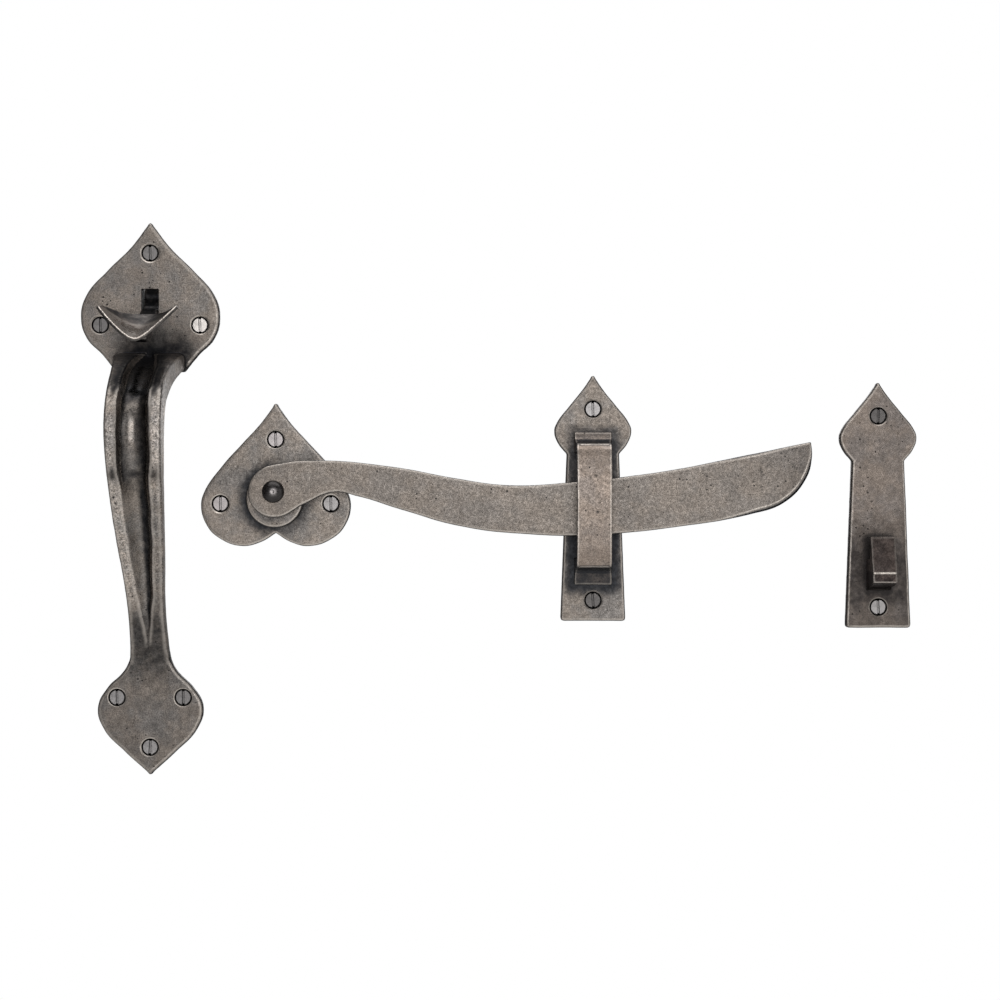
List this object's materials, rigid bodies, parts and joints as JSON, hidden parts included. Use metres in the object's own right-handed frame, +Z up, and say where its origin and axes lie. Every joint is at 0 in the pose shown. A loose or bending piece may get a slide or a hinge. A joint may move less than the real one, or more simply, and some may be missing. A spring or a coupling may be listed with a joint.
{
  "type": "thumb latch",
  "caption": "Suffolk thumb latch set: fluted pull handle with thumb piece, pivoting latch bar on a heart plate, staple keeper and hooked catch, each on screwed plates.",
  "frame": {"origin": "on the back of the pull handle's upper plate, on the handle's centre line, between its top screw and its slot", "axes": "+X right along the door, +Z up, +Y into the door, so every plate's back lies on Y = 0 and its front looks towards -Y"},
  "size_m": [0.3663, 0.1281, 0.242],
  "materials": {
    "aged_pewter": "aged pewter, mottled brown-grey, light on the worn edges",
    "dark_pewter": "aged pewter, darkened by patina",
    "screw_steel": "dull tinned steel with dark slots",
    "rivet_black": "blackened, polished on its crown"
  },
  "bodies": {
    "fixed_units": {"pull_handle": "aged_pewter", "thumb_pivot_pin": "screw_steel", "pivot_plate": "aged_pewter", "pivot_rivet": "rivet_black", "keeper_plate": "aged_pewter", "keeper_staple": "dark_pewter", "catch_plate": "aged_pewter", "catch_hook": "dark_pewter", "handle_screw_1": "screw_steel", "handle_screw_2": "screw_steel", "handle_screw_3": "screw_steel", "handle_screw_4": "screw_steel", "handle_screw_5": "screw_steel", "handle_screw_6": "screw_steel", "pivot_plate_screw_1": "screw_steel", "pivot_plate_screw_2": "screw_steel", "pivot_plate_screw_3": "screw_steel", "keeper_screw_1": "screw_steel", "keeper_screw_2": "screw_steel", "catch_screw_1": "screw_steel", "catch_screw_2": "screw_steel"},
    "latch_bar": {"latch_bar": "aged_pewter"},
    "thumb_piece": {"thumb_piece": "aged_pewter"}
  },
  "joints": [
    {"name": "bar_lift", "type": "hinge", "parent": "fixed_units", "child": "latch_bar", "pos_m": [0.055, -0.01165, -0.095], "axis": [0, -1, 0], "range_deg": [-3.5, 4]},
    {"name": "thumb_press", "type": "hinge", "parent": "fixed_units", "child": "thumb_piece", "pos_m": [0, 0.0046, -0.0162], "axis": [1, 0, 0], "range_deg": [0, 14]}
  ]
}
